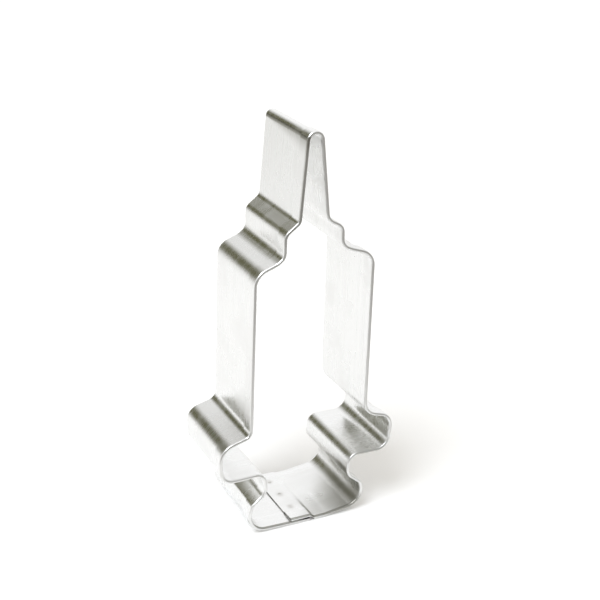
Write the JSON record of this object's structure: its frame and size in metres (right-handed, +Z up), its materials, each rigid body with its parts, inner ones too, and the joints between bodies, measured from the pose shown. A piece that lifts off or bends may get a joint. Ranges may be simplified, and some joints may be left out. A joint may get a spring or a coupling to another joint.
{
  "type": "cookie cutter",
  "caption": "Cookie cutter bent from one strip of tinplate into the outline of a syringe, with a folded hem for the hand, a raw cutting edge and a spot-welded lap in its base.",
  "frame": {"origin": "middle of the base at the level of the hem's underside, halfway through the cutter's depth", "axes": "+Z up the outline towards the needle's tip, +Y through the depth from the hem to the cutting edge, +X across the finger flange"},
  "size_m": [0.0508, 0.0254, 0.1084],
  "materials": {
    "tinplate": "bright tinplate with faint rolling lines",
    "weld": "dull, darkened by the heat of the weld"
  },
  "bodies": {
    "root": {"cutter_strip": "tinplate", "spot_welds": "weld"}
  },
  "joints": []
}
